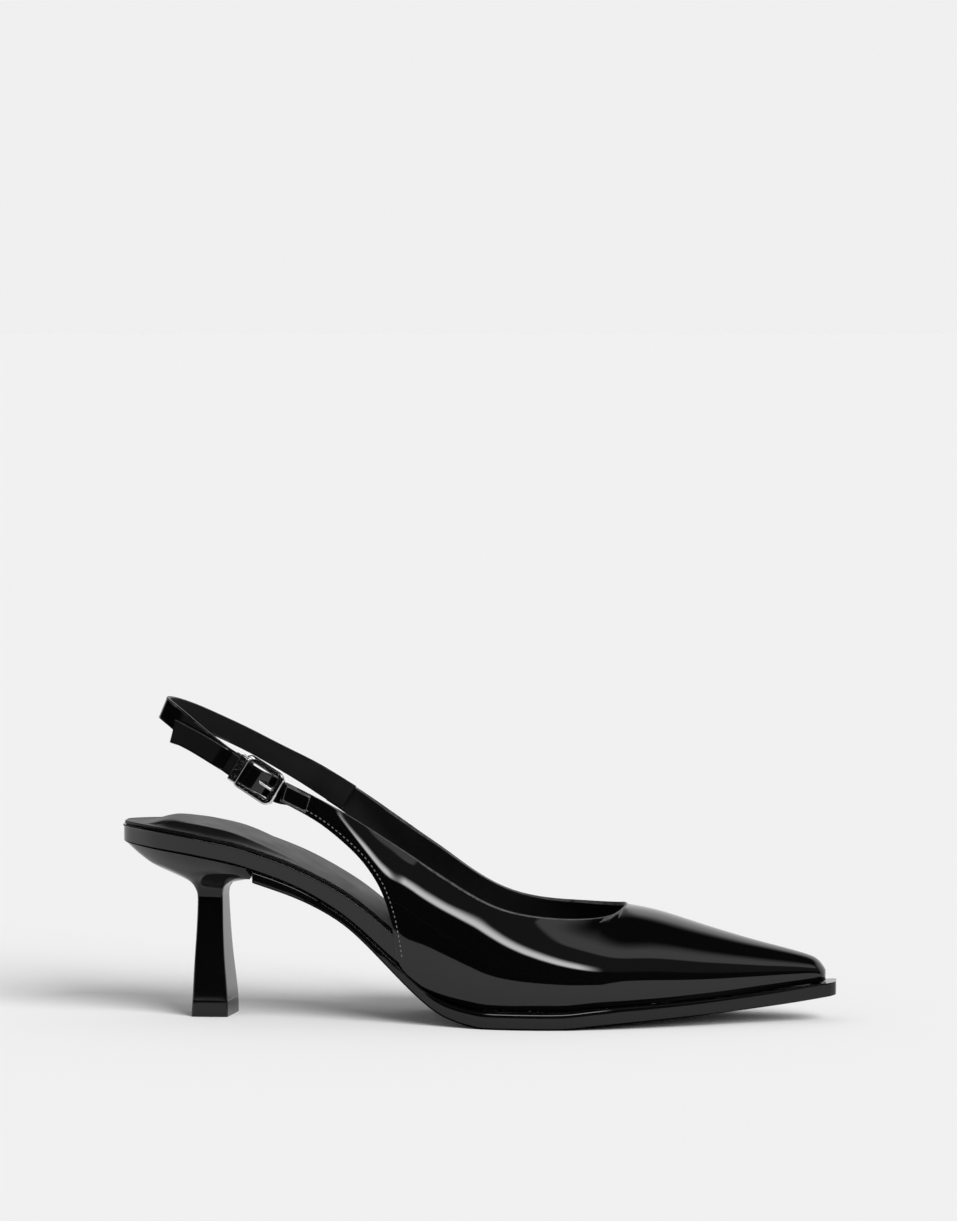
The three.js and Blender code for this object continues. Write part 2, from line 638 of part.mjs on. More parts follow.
// Columns of the upper from the quarter's end to the toe: where each starts and stops
function upperColumns(side) {
  const end = quarterEnds[side];
  const throat = at(throatPlace);
  const collar = at(collarPlace * throatPlace);
  const ends = [];
  const startShare = startOnEdge(end);
  for (let i = 0; i <= edgeColumns; i += 1) {
    const t = i / edgeColumns;
    const low = lowEdge.getPointAt(mix(startShare, 1, t));
    const top = mix(end + endSlant, collar, t);
    ends.push({ lowX: low.x, lowTurn: turnAtHeight(side, low.x, low.z), topX: top });
  }
  const corner = ends[ends.length - 1].lowX;
  for (let i = 1; i <= sideColumns; i += 1) {
    const t = i / sideColumns;
    ends.push({
      lowX: mix(corner, throat, t),
      lowTurn: 0,
      topX: mix(collar, throat, Math.sin((Math.PI / 2) * t)),
    });
  }
  const vamp = stations(throat, upperEnd - toeRounding * 1.6, vampColumns, false, false).slice(1);
  const tip = stations(upperEnd - toeRounding * 1.6, upperEnd, tipColumns, false, true).slice(1);
  [...vamp, ...tip].forEach((x) => ends.push({ lowX: x, lowTurn: 0, topX: x, closed: true }));
  ends[edgeColumns].lowTurn = 0;
  ends.forEach((entry) => {
    const closed = entry.closed || Math.abs(entry.topX - throat) < 1e-6;
    const height = topline[side]((entry.topX - heelBack) / throatPlace) * quarterHeight;
    entry.topTurn = closed ? 1 : turnAtHeight(side, entry.topX, height);
    entry.closed = closed;
  });
  return ends;
}

// The share of the lower edge's length at which it reaches a place
function startOnEdge(x) {
  let before = 0;
  let after = 1;
  for (let i = 0; i < 30; i += 1) {
    const share = (before + after) / 2;
    if (lowEdge.getPointAt(share).x < x) before = share;
    else after = share;
  }
  return (before + after) / 2;
}

// The direction out of the upper's face
function upperNormal(side, x, turn) {
  const step = 0.02;
  const reach = 0.5;
  const t0 = Math.max(turn - step, 0.06);
  const t1 = Math.min(Math.max(turn, 0.1) + step, 1);
  const ahead = Math.min(x + reach, upperEnd - 0.4);
  const along = upperPoint(side, ahead, turn).sub(upperPoint(side, ahead - 2 * reach, turn));
  if (turn > 0.999) return new THREE.Vector3(-along.z, 0, along.x).normalize();
  const across = upperPoint(side, x, t1).sub(upperPoint(side, x, t0));
  const normal = side === 'lateral' ? along.cross(across) : across.cross(along);
  return normal.normalize();
}

function upperGrids(side) {
  const outer = [];
  const inner = [];
  upperColumns(side).forEach(({ lowX, lowTurn, topX, topTurn }) => {
    const outerColumn = [];
    const innerColumn = [];
    for (let row = 0; row <= wallRows; row += 1) {
      const t = row / wallRows;
      const bottomShare = lowTurn === 0 ? t ** 1.25 : t;
      const x = mix(lowX, topX, bottomShare);
      const turn = mix(lowTurn, topTurn, bottomShare);
      const point = upperPoint(side, x, turn);
      const normal = upperNormal(side, x, turn);
      const face = point.clone().addScaledVector(normal, -upperWall);
      const near = Math.max((x - upperEnd) / toeTaper + 1, 0);
      const spare = 1 - Math.min(Math.abs(x - face.x) / upperWall, 1);
      face.x = Math.min(face.x, x) - upperWall * near * near * spare;
      if (lowTurn === 0 && row === 0) face.z = point.z;
      if (turn > 0.999 && topTurn === 1) face.y = point.y;
      outerColumn.push(point);
      innerColumn.push(face);
    }
    outer.push(outerColumn);
    inner.push(innerColumn);
  });
  return { outer, inner };
}

function makeUpper() {
  const positions = [];
  const faces = [];
  const add = (p) => positions.push(p.x, p.y, p.z) / 3 - 1;
  const quad = (a, b, c, d, flip) => {
    const [p, q, r, s] = flip ? [d, c, b, a] : [a, b, c, d];
    faces.push([p, q, r], [p, r, s]);
  };
  const sides = ['lateral', 'medial'].map((side) => {
    const { outer, inner } = upperGrids(side);
    const flip = side === 'medial';
    const outerIds = outer.map((line) => line.map(add));
    const innerIds = inner.map((line) => line.map(add));
    const count = outerIds.length;
    const closedFrom = upperColumns(side).findIndex((entry) => entry.closed);
    for (let c = 0; c < count - 1; c += 1) {
      for (let r = 0; r < wallRows; r += 1) {
        quad(outerIds[c][r], outerIds[c + 1][r], outerIds[c + 1][r + 1], outerIds[c][r + 1], flip);
        quad(innerIds[c][r], innerIds[c][r + 1], innerIds[c + 1][r + 1], innerIds[c + 1][r], flip);
      }
      quad(outerIds[c][0], innerIds[c][0], innerIds[c + 1][0], outerIds[c + 1][0], flip);
      if (c < closedFrom) {
        const top = wallRows;
        quad(outerIds[c][top], outerIds[c + 1][top], innerIds[c + 1][top], innerIds[c][top], flip);
      }
    }
    for (let r = 0; r < wallRows; r += 1) {
      quad(outerIds[0][r], outerIds[0][r + 1], innerIds[0][r + 1], innerIds[0][r], flip);
    }
    return { outerIds, innerIds, count };
  });
  const [lateral, medial] = sides;
  const tip = lateral.count - 1;
  const out = { lateral: lateral.outerIds[tip], medial: medial.outerIds[tip] };
  const inside = { lateral: lateral.innerIds[tip], medial: medial.innerIds[tip] };
  for (let r = 0; r < wallRows; r += 1) {
    quad(out.lateral[r], out.medial[r], out.medial[r + 1], out.lateral[r + 1], false);
    quad(inside.lateral[r], inside.lateral[r + 1], inside.medial[r + 1], inside.medial[r], false);
  }
  quad(out.lateral[0], inside.lateral[0], inside.medial[0], out.medial[0], false);
  return body(positions, faces);
}

// A strap: a flat section with eased corners, carried along its stations.
// Each station has a place, the strap's direction up its width and its direction out of its face,
// and may be wider on its upper edge or raised on its lower edge.
function ribbon(line, width, thickness) {
  const easing = Math.min(thickness, width) * 0.28;
  const halfWidth = width / 2;
  const halfThickness = thickness / 2;
  const section = [
    [halfWidth, halfThickness - easing], [halfWidth - easing, halfThickness],
    [-halfWidth + easing, halfThickness], [-halfWidth, halfThickness - easing],
    [-halfWidth, -halfThickness + easing], [-halfWidth + easing, -halfThickness],
    [halfWidth - easing, -halfThickness], [halfWidth, -halfThickness + easing],
  ];
  return loft(line.map(({ place, up, out, wider = 0, raised = 0 }) => section.map(([u, o]) => (
    place.clone().addScaledVector(up, u > 0 ? u + wider : u + raised).addScaledVector(out, o)))));
}

// Back strap: it ends folded round the hinge bar, with a slot in the fold for the prong
const slingSteps = 36;
const slingFullness = 0.99;
function makeBackStrap() {
  const line = [];
  for (let i = 0; i <= slingSteps; i += 1) {
    const share = (i / slingSteps) * slingFullness;
    line.push({ ...slingStation(share, 0), wider: rootSwell * (1 - smooth(0.04, 0.3, share)) });
  }
  const strap = toSolid(ribbon(line, strapWidth, strapThickness));
  const bar = -hingeSetback;
  const turn = (degrees) => {
    const angle = (degrees * Math.PI) / 180;
    return [bar + wrapRadius * Math.cos(angle), wrapRadius * Math.sin(angle)];
  };
  const start = bar - wrapRadius - foldLength;
  const shoulder = bar - wrapRadius - foldLength / 3;
  const folded = [-140, -90, -40, 0, 40, 90, 140].map(turn);
  const wrap = buckleRoute([[start, -0.2], [shoulder, -0.6], ...folded, [shoulder, 0.6], [start, 0.2]], 22);
  const fold = toSolid(ribbon(wrap, strapWidth, wrapThickness));
  const slotEnds = [shoulder, bar + wrapRadius + 2 * wrapThickness];
  const slot = toSolid(ribbon(
    slotEnds.map((a) => ({ place: onBuckle(a, 0, 0), up: hinge.up, out: hinge.out })),
    prongWidth + 2 * fitGap,
    2 * (wrapRadius + wrapThickness),
  ));
  return fromSolid(strap.add(fold).subtract(slot));
}

// The share of the sling's length at which its outer side reaches a place
function slingShareAt(x) {
  let before = 0.5;
  let after = 1;
  for (let i = 0; i < 30; i += 1) {
    const share = (before + after) / 2;
    if (slingLine.getPointAt(share).x < x) before = share;
    else after = share;
  }
  return (before + after) / 2;
}

// Front strap: from inside the outer quarter, up through the frame, over the hinge bar, and on as the tail
const lapLength = 10;
const lapRaise = 2.4;
const tailSteps = 14;
const tailSlant = 0.43;
function frontStrapLine() {
  const overFold = wrapRadius + wrapThickness / 2 + fitGap + tailThickness / 2;
  const end = buckleLength / 2 - buckleEndBar / 2;
  const underBar = -(buckleBar / 2 + fitGap + tailThickness / 2);
  const rest = strapThickness / 2 + tailThickness / 2 + fitGap;
  const settle = 0.9;
  const inFrame = buckleRoute([
    [end + lapLength, underBar - 0.9], [end + lapLength / 2, underBar - 0.7], [end + 1.5, underBar - 0.2],
    [end - 1.2, underBar], [end - 4, 0.6], [end - 7, overFold - 0.4],
    [-hingeSetback + 1, overFold + 0.2], [-hingeSetback - 1.8, overFold + 0.1],
    [-hingeSetback - 5.2, overFold - settle],
  ], 34, -1);
  inFrame.forEach((station, i) => {
    station.raised = lapRaise * (1 - smooth(0, 0.3, i / (inFrame.length - 1)));
  });
  const tailRoot = inFrame[inFrame.length - 1].place;
  const tailStart = slingShareAt(tailRoot.x) - 0.008;
  const tailEnd = slingShareAt(at(tailPlace));
  const onTail = Array.from({ length: tailSteps + 1 }, (_, i) => {
    const gone = i / tailSteps;
    const share = mix(tailStart, tailEnd, gone);
    const stand = rest + (overFold - settle - rest) * (1 - smooth(0, 0.35, gone));
    const station = slingStation(share, stand);
    station.place.addScaledVector(station.up, -tailDrop * gone ** 1.5);
    station.up.addScaledVector(slingLine.getTangentAt(share), -tailSlant * smooth(0.7, 1, gone));
    return station;
  });
  return [...inFrame, ...onTail];
}

function prongRing(radius) {
  const bar = -hingeSetback;
  const reach = buckleBar / 2 + fitGap + prongWidth / 2 - 0.1;
  const turn = (degrees) => {
    const angle = (degrees * Math.PI) / 180;
    return [bar + reach * Math.cos(angle), reach * Math.sin(angle)];
  };
  const end = buckleLength / 2 - buckleEndBar;
  const rest = buckleBar / 2 + fitGap + prongWidth / 2;
  const loop = [-60, -110, -160, 150, 110].map(turn);
  const route = buckleRoute([
    ...loop, [bar + 1.2, reach + 0.15], [bar + 5, rest + 0.1], [end - 2, rest], [end + 0.9, rest],
  ], 22);
  const sides = 8;
  return loft(route.map(({ place, up, out }) => Array.from({ length: sides }, (_, n) => {
    const angle = (2 * Math.PI * n) / sides;
    const across = up.clone().multiplyScalar(radius * Math.cos(angle));
    return place.clone().add(across).addScaledVector(out, radius * Math.sin(angle));
  })));
}

function makeFrontStrap() {
  const strap = toSolid(ribbon(frontStrapLine(), tailWidth, tailThickness));
  return fromSolid(strap.subtract(toSolid(prongRing(prongWidth / 2 + fitGap))));
}

// Frame: one flat-faced bar carried round a rounded rectangle
const flatShare = 0.58;
const barSection = [
  [1, flatShare], [flatShare, 1], [-flatShare, 1], [-1, flatShare],
  [-1, -flatShare], [-flatShare, -1], [flatShare, -1], [1, -flatShare],
];
function makeBuckleFrame() {
  const halfLength = (buckleLength - buckleBar) / 2;
  const halfWidth = (buckleWidth - buckleBar) / 2;
  const stops = 6;
  const rings = [];
  [[1, 1], [-1, 1], [-1, -1], [1, -1]].forEach(([sx, sy], n) => {
    for (let i = 0; i < stops; i += 1) {
      const angle = (Math.PI / 2) * (n + i / (stops - 1));
      const outX = Math.cos(angle);
      const outY = Math.sin(angle);
      const x = sx * (halfLength - buckleCorner) + buckleCorner * outX;
      const y = sy * (halfWidth - buckleCorner) + buckleCorner * outY;
      const reach = (outX > 0.9 ? buckleEndBar : buckleBar) / 2;
      rings.push(barSection.map(([across, out]) => (
        onBuckle(x + outX * reach * across, y + outY * reach * across, (buckleBar / 2) * out))));
    }
  });
  return loft(rings, true);
}

// Keeper: a flat strip over the tail beside the hinge bar, with its two ends turned down to the frame
const keeperHeadroom = 1.07;
const keeperSideroom = 0.45;
function makeBuckleKeeper() {
  const over = wrapRadius + wrapThickness / 2 + tailThickness + keeperHeadroom;
  const reach = (tailWidth / 2 + strapWidth / 2) / 2 + keeperSideroom + keeperThickness / 2;
  const foot = buckleBar / 2 + fitGap;
  const place = -hingeSetback - 0.2;
  const half = keeperThickness / 2;
  const profile = [
    [-reach - half, foot], [-reach - half, over], [-reach, over + half],
    [reach, over + half], [reach + half, over], [reach + half, foot],
    [reach - half, foot], [reach - half, over - half],
    [-reach + half, over - half], [-reach + half, foot],
  ];
  const ends = [-keeperWidth / 2, keeperWidth / 2];
  return prism(ends.map((a) => profile.map(([u, o]) => onBuckle(place + a, u, o))));
}

// Closes two equal loops into a body, with ends cut into triangles that follow a hollow outline
function prism([first, second]) {
  const count = first.length;
  const origin = first[0];
  const u = first[1].clone().sub(origin).normalize();
  const normal = second[0].clone().sub(first[0]).normalize();
  const v = normal.clone().cross(u);
  const flat = first.map((p) => {
    const offset = p.clone().sub(origin);
    return new THREE.Vector2(offset.dot(u), offset.dot(v));
  });
  const ends = THREE.ShapeUtils.triangulateShape(flat, []);
  const clockwise = THREE.ShapeUtils.isClockWise(flat);
  const faces = [];
  for (let j = 0; j < count; j += 1) {
    const k = (j + 1) % count;
    faces.push([j, k, count + k], [j, count + k, count + j]);
  }
  ends.forEach(([a, b, c]) => {
    const area = flat[b].clone().sub(flat[a]).cross(flat[c].clone().sub(flat[a]));
    const [p, q, r] = (area < 0) === clockwise ? [a, c, b] : [a, b, c];
    faces.push([p, q, r], [count + p, count + r, count + q]);
  });
  return body([...first, ...second].flatMap((p) => [p.x, p.y, p.z]), faces);
}

// Tab: a stitched overlay on the end of the outer quarter, over the front strap's root
const tabSteps = 6;
const tabSetback = 0.7;
function makeStrapTab() {
  const side = 'lateral';
  const first = upperColumns(side)[0];
  const line = Array.from({ length: tabSteps + 1 }, (_, i) => {
    const forward = tabSetback + (tabLength * i) / tabSteps;
    const lowX = first.lowX + forward;
    const topX = first.topX + forward;
    const lowZ = lowEdge.getPointAt(startOnEdge(lowX)).z;
    const topZ = topline[side]((topX - heelBack) / throatPlace) * quarterHeight;
    const low = upperPoint(side, lowX, turnAtHeight(side, lowX, lowZ));
    const top = upperPoint(side, topX, turnAtHeight(side, topX, topZ));
    const midX = (lowX + topX) / 2;
    const midTurn = turnAtHeight(side, midX, (low.z + top.z) / 2);
    const out = upperNormal(side, midX, midTurn);
    const up = top.clone().sub(low);
    up.addScaledVector(out, -up.dot(out)).normalize();
    const place = upperPoint(side, midX, midTurn).addScaledVector(out, fitGap + tabThickness / 2);
    return { place, up, out };
  });
  return ribbon(line, tabWidth, tabThickness);
}

const colours = { patent: 0x060607, sole: 0x0b0b0c, matte: 0x17171a, lift: 0x1c1a19, metal: 0xd8d8da };
const finishes = {
  patent: { color: colours.patent, roughness: 0.08, metalness: 0 },
  sole: { color: colours.sole, roughness: 0.3, metalness: 0 },
  matte: { color: colours.matte, roughness: 0.6, metalness: 0 },
  lift: { color: colours.lift, roughness: 0.5, metalness: 0 },
  metal: { color: colours.metal, roughness: 0.12, metalness: 1 },
};

const shoe = new THREE.Group();
function addPiece(name, geometry, finish) {
  geometry.computeVertexNormals();
  const mesh = new THREE.Mesh(geometry, new THREE.MeshStandardMaterial(finishes[finish]));
  mesh.name = name;
  shoe.add(mesh);
}

addPiece('outsole', makeOutsole(), 'sole');
addPiece('footbed', makeFootbed(), 'patent');
addPiece('insole', makeInsole(), 'matte');
addPiece('heel', makeHeel(), 'patent');
addPiece('top_lift', makeTopLift(), 'lift');
addPiece('upper', makeUpper(), 'patent');
addPiece('back_strap', makeBackStrap(), 'patent');
addPiece('front_strap', makeFrontStrap(), 'patent');
addPiece('strap_tab', makeStrapTab(), 'patent');
addPiece('buckle_frame', makeBuckleFrame(), 'metal');
addPiece('buckle_prong', prongRing(prongWidth / 2), 'metal');
addPiece('buckle_keeper', makeBuckleKeeper(), 'metal');

export default shoe;
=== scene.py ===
# %% [markdown]
# A black patent slingback pump, dressed for the camera.
# The solids of the shoe come from a fixed frame, and this script gives them their looks:
# smooth skins over the faceted solids, stitches, piping, gloss, a floor and studio light.
# Blender works in metres, and a shoemaker in millimetres, so MM turns one into the other.

# %% Load the fixed frame
import math
import bmesh
import bpy
import numpy
from mathutils import Matrix, Vector
from mathutils.bvhtree import BVHTree


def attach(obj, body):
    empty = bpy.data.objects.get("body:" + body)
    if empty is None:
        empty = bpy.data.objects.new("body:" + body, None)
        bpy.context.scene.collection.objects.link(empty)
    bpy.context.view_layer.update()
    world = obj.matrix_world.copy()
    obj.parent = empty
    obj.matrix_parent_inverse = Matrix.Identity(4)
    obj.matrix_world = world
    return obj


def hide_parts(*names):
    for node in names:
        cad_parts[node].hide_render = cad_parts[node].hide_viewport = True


MM = 0.001
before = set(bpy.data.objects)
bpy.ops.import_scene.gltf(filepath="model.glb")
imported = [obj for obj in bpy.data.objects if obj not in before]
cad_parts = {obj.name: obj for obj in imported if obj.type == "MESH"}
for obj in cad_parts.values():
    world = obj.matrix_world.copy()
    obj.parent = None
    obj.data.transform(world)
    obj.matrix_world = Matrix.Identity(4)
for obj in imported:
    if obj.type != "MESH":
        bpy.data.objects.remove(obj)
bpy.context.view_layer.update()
print("frame nodes:", ", ".join(sorted(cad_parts)))

# %% [markdown]
# The camera stands where the photographer stood, two metres from the shoe with a long lens.
# It is a little ahead of the heel-to-toe line and a little above the floor, and it aims higher
# than the shoe, so that the shoe sits low in a tall frame. The aim is worked out from the pixel
# where the shoe's middle shows, so no lens shift is needed.

# %% Camera at the photographer's place
PHOTO_HEIGHT = 1221
SENSOR_HEIGHT = 36.0
CAMERA_AZIMUTH = math.radians(5.0)
CAMERA_ELEVATION = math.radians(5.5)
CAMERA_DISTANCE = 2000 * MM
PIXELS_PER_MM = 2.857
SHOE_MIDDLE = Vector((0, 0, 55 * MM))
SHOE_MIDDLE_ROW = 860

focal_pixels = PIXELS_PER_MM * CAMERA_DISTANCE / MM
out_from_shoe = Vector((
    math.sin(CAMERA_AZIMUTH) * math.cos(CAMERA_ELEVATION),
    -math.cos(CAMERA_AZIMUTH) * math.cos(CAMERA_ELEVATION),
    math.sin(CAMERA_ELEVATION),
))
camera_place = SHOE_MIDDLE + out_from_shoe * CAMERA_DISTANCE
camera_right = Vector((math.cos(CAMERA_AZIMUTH), math.sin(CAMERA_AZIMUTH), 0))
tip_up = math.atan((SHOE_MIDDLE_ROW - PHOTO_HEIGHT / 2) / focal_pixels)
towards_shoe = -out_from_shoe
camera_ahead = towards_shoe * math.cos(tip_up) + camera_right.cross(towards_shoe) * math.sin(tip_up)
camera_up = camera_right.cross(camera_ahead)

camera_data = bpy.data.cameras.new("camera")
camera_data.sensor_fit = "VERTICAL"
camera_data.sensor_height = SENSOR_HEIGHT
camera_data.lens = SENSOR_HEIGHT * focal_pixels / PHOTO_HEIGHT
camera = bpy.data.objects.new("camera", camera_data)
bpy.context.scene.collection.objects.link(camera)
turn = Matrix((camera_right, camera_up, -camera_ahead)).transposed()
camera.matrix_world = Matrix.Translation(camera_place) @ turn.to_4x4()
bpy.context.scene.camera = camera
bpy.context.scene.view_settings.view_transform = "Standard"
print("lens in mm:", round(camera_data.lens, 1))

# %% [markdown]
# Materials are node graphs. Written out node by node they are hard to read, so two small helpers
# are used: Maths lets sockets be added and multiplied like numbers, and Finish.node makes any
# other node from its type, its settings and what goes into its sockets.

# %% Helpers for node graphs
class Maths:
    """A value in a node graph that can be used in Python sums."""

    def __init__(self, finish, socket):
        self.finish = finish
        self.socket = socket

    def sum_with(self, operation, first, second):
        return self.finish.node("Math", {"operation": operation}, {0: first, 1: second})

    def __add__(self, other):
        return self.sum_with("ADD", self, other)

    def __sub__(self, other):
        return self.sum_with("SUBTRACT", self, other)

    def __rsub__(self, other):
        return self.sum_with("SUBTRACT", other, self)

    def __mul__(self, other):
        return self.sum_with("MULTIPLY", self, other)

    __radd__ = __add__
    __rmul__ = __mul__


class Finish:
    """A node graph that ends in one Principled shader, or a world's background."""

    def __init__(self, tree, ending, output):
        self.tree = tree
        tree.nodes.clear()
        self.shader = tree.nodes.new("ShaderNode" + ending)
        self.output = tree.nodes.new("ShaderNode" + output)
        tree.links.new(self.shader.outputs[0], self.output.inputs["Surface"])

    def node(self, kind, settings=None, sockets=None, out=0):
        made = self.tree.nodes.new("ShaderNode" + kind)
        for name, value in (settings or {}).items():
            if name == "stops":
                for spare in list(made.color_ramp.elements)[len(value):]:
                    made.color_ramp.elements.remove(spare)
                while len(made.color_ramp.elements) < len(value):
                    made.color_ramp.elements.new(1.0)
                for element, (place, level) in zip(made.color_ramp.elements, value):
                    element.position = place
                    element.color = (level, level, level, 1) if isinstance(level, float) else level
            else:
                setattr(made, name, value)
        for name, value in (sockets or {}).items():
            self.plug(made.inputs[name], value)
        return Maths(self, made.outputs[out])

    def plug(self, socket, value):
        if isinstance(value, Maths):
            self.tree.links.new(value.socket, socket)
        else:
            socket.default_value = value

    def set(self, **sockets):
        for name, value in sockets.items():
            self.plug(self.shader.inputs[name.replace("_", " ")], value)


def new_finish(name, **constants):
    material = bpy.data.materials.new(name)
    material.use_nodes = True
    finish = Finish(material.node_tree, "BsdfPrincipled", "OutputMaterial")
    finish.material = material
    finish.set(**constants)
    finish.place = finish.node("TexCoord", out=3)
    return finish


def grey(level):
    return (level, level, level, 1.0)


# %% [markdown]
# Patent leather is a leather with a thick clear lacquer. Its colour is almost nothing but black:
# what the eye sees is the mirror of the room. The lacquer is never quite flat, so a broad, very
# shallow bump lets the highlights waver a little, and faint haze varies its roughness.

# %% Patent leather
LACQUER_DEPTH = 0.6 * MM
patent = new_finish("patent_leather", Base_Color=grey(0.0012), Roughness=0.03, IOR=1.5)
waver = patent.node("TexNoise", {}, {"Vector": patent.place, "Scale": 28.0, "Detail": 1.0})
peel = patent.node("TexNoise", {}, {"Vector": patent.place, "Scale": 420.0, "Detail": 2.0})
haze = patent.node("TexNoise", {}, {"Vector": patent.place, "Scale": 60.0, "Detail": 4.0})
unevenness = {"Strength": 0.025, "Distance": LACQUER_DEPTH, "Height": waver + peel * 0.08}
patent.set(
    Normal=patent.node("Bump", {}, unevenness),
    Roughness=haze * 0.03 + 0.01,
)
print("patent leather ready")

# %% [markdown]
# The other finishes are plainer: a matte sock and a matte lining with a fine grain, a gloss lacquer
# on the sole, the heel and its tip, polished steel, waxed thread and the paint on cut edges.

# %% Sock, lining, lacquer, steel, thread and edge paint
GRAIN_DEPTH = 0.1 * MM
CELLS = {"feature": "DISTANCE_TO_EDGE"}
sock = new_finish("sock_leather", Base_Color=grey(0.006), Roughness=0.5, Specular_IOR_Level=0.3)
grain = sock.node("TexVoronoi", CELLS, {"Vector": sock.place, "Scale": 1500.0})
cloud = sock.node("TexNoise", {}, {"Vector": sock.place, "Scale": 90.0, "Detail": 5.0})
grained = {"Strength": 0.25, "Distance": GRAIN_DEPTH, "Height": grain + cloud * 0.3}
sock.set(
    Normal=sock.node("Bump", {}, grained),
    Roughness=cloud * 0.2 + 0.33,
)

lining = new_finish("lining_leather", Base_Color=grey(0.0025), Roughness=0.6,
                    Specular_IOR_Level=0.25)
grain = lining.node("TexVoronoi", CELLS, {"Vector": lining.place, "Scale": 1300.0})
cloud = lining.node("TexNoise", {}, {"Vector": lining.place, "Scale": 120.0, "Detail": 5.0})
grained = {"Strength": 0.2, "Distance": GRAIN_DEPTH, "Height": grain + cloud * 0.3}
lining.set(
    Normal=lining.node("Bump", {}, grained),
    Roughness=cloud * 0.2 + 0.45,
)

gloss = new_finish("gloss_lacquer", Base_Color=grey(0.0015), Roughness=0.05, IOR=1.42)
haze = gloss.node("TexNoise", {}, {"Vector": gloss.place, "Scale": 80.0, "Detail": 4.0})
waver = gloss.node("TexNoise", {}, {"Vector": gloss.place, "Scale": 55.0, "Detail": 1.0})
gloss.set(
    Normal=gloss.node("Bump", {}, {"Strength": 0.05, "Distance": 0.4 * MM, "Height": waver}),
    Roughness=haze * 0.06 + 0.04,
)

steel = new_finish("polished_steel", Base_Color=grey(0.62), Metallic=1.0, Roughness=0.1)
scratch = steel.node("TexNoise", {}, {"Vector": steel.place, "Scale": 700.0, "Detail": 3.0})
steel.set(Roughness=scratch * 0.1 + 0.05)

thread = new_finish("waxed_thread", Base_Color=grey(0.03), Roughness=0.3)
twist = thread.node("TexWave", {}, {"Vector": thread.place, "Scale": 1400.0, "Distortion": 2.0})
thread.set(
    Base_Color=thread.node("ValToRGB", {"stops": [(0.0, 0.05), (1.0, 0.16)]}, {"Fac": twist}),
    Normal=thread.node("Bump", {}, {"Strength": 0.4, "Distance": 0.1 * MM, "Height": twist}),
)

edge_paint = new_finish("edge_paint", Base_Color=grey(0.03), Roughness=0.4, Specular_IOR_Level=0.9)
daub = edge_paint.node("TexNoise", {}, {"Vector": edge_paint.place, "Scale": 500.0, "Detail": 4.0})
edge_paint.set(
    Roughness=daub * 0.3 + 0.25,
    Base_Color=edge_paint.node("ValToRGB", {"stops": [(0.3, 0.015), (0.7, 0.06)]}, {"Fac": daub}),
)
print("finishes ready:", ", ".join(sorted(m.name for m in bpy.data.materials)))

# %% [markdown]
# The solids are faceted, and patent leather shows every facet. So each one gets a skin: a copy of
# its mesh is merged, its triangles are joined back to quads, its sharp corners get a small rounded
# bevel, and a Subdivision Surface smooths what lies between them.
# Subdividing pulls a rounded end inwards, so fit_cage moves the cage out again until the smooth
# surface goes through the solid's own corners.

# %% A smooth skin over a solid
SMOOTH_LEVELS = 2
MERGE_DISTANCE = 0.001 * MM


def merged_copy(node, flat=60, shape=90):
    """A solid's mesh in quads. Flat and shape, in degrees, limit which triangles are joined."""
    mesh = bmesh.new()
    mesh.from_mesh(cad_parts[node].data)
    bmesh.ops.remove_doubles(mesh, verts=mesh.verts, dist=MERGE_DISTANCE)
    bmesh.ops.join_triangles(mesh, faces=mesh.faces, angle_face_threshold=math.radians(flat),
                             angle_shape_threshold=math.radians(shape), topology_influence=2.0)
    mesh.normal_update()
    return mesh


def sharp_edges(mesh, corner):
    """The edges that turn by more than so many degrees."""
    turn = math.radians(corner)
    return [e for e in mesh.edges if e.is_manifold and e.calc_face_angle(0) > turn]


def relax(mesh, corner, passes):
    """Evens out the broad faces and leaves the vertices on sharp edges where they are."""
    held = {v for e in sharp_edges(mesh, corner) for v in e.verts}
    free = [v for v in mesh.verts if v not in held]
    for _ in range(passes):
        bmesh.ops.smooth_vert(mesh, verts=free, factor=0.5,
                              use_axis_x=True, use_axis_y=True, use_axis_z=True)


def round_corners(mesh, radius, corner, segments=2):
    """Bevels the sharp edges and returns the new faces."""
    made = bmesh.ops.bevel(mesh, geom=sharp_edges(mesh, corner), offset=radius, segments=segments,
                           profile=0.5, affect="EDGES", material=-1, clamp_overlap=True)
    mesh.normal_update()
    return made["faces"]


def finish_piece(name, mesh, materials, levels=SMOOTH_LEVELS):
    data = bpy.data.meshes.new(name)
    mesh.to_mesh(data)
    mesh.free()
    data.shade_smooth()
    piece = bpy.data.objects.new(name, data)
    bpy.context.scene.collection.objects.link(piece)
    for finish in materials:
        data.materials.append(finish.material)
    if levels:
        smooth = piece.modifiers.new("smooth", "SUBSURF")
        smooth.levels = levels
        smooth.render_levels = levels
    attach(piece, "root")
    print(name, "faces:", len(data.polygons))
    return piece


def fit_cage(piece, passes=2, share=0.9):
    """Moves the cage until the smoothed surface passes through the places its vertices had."""
    wanted = [vert.co.copy() for vert in piece.data.vertices]
    for _ in range(passes):
        bpy.context.view_layer.update()
        shown = piece.evaluated_get(bpy.context.evaluated_depsgraph_get()).to_mesh()
        reached = [shown.vertices[n].co.copy() for n in range(len(wanted))]
        for vert, goal, now in zip(piece.data.vertices, wanted, reached):
            vert.co += (goal - now) * share
        piece.data.update()


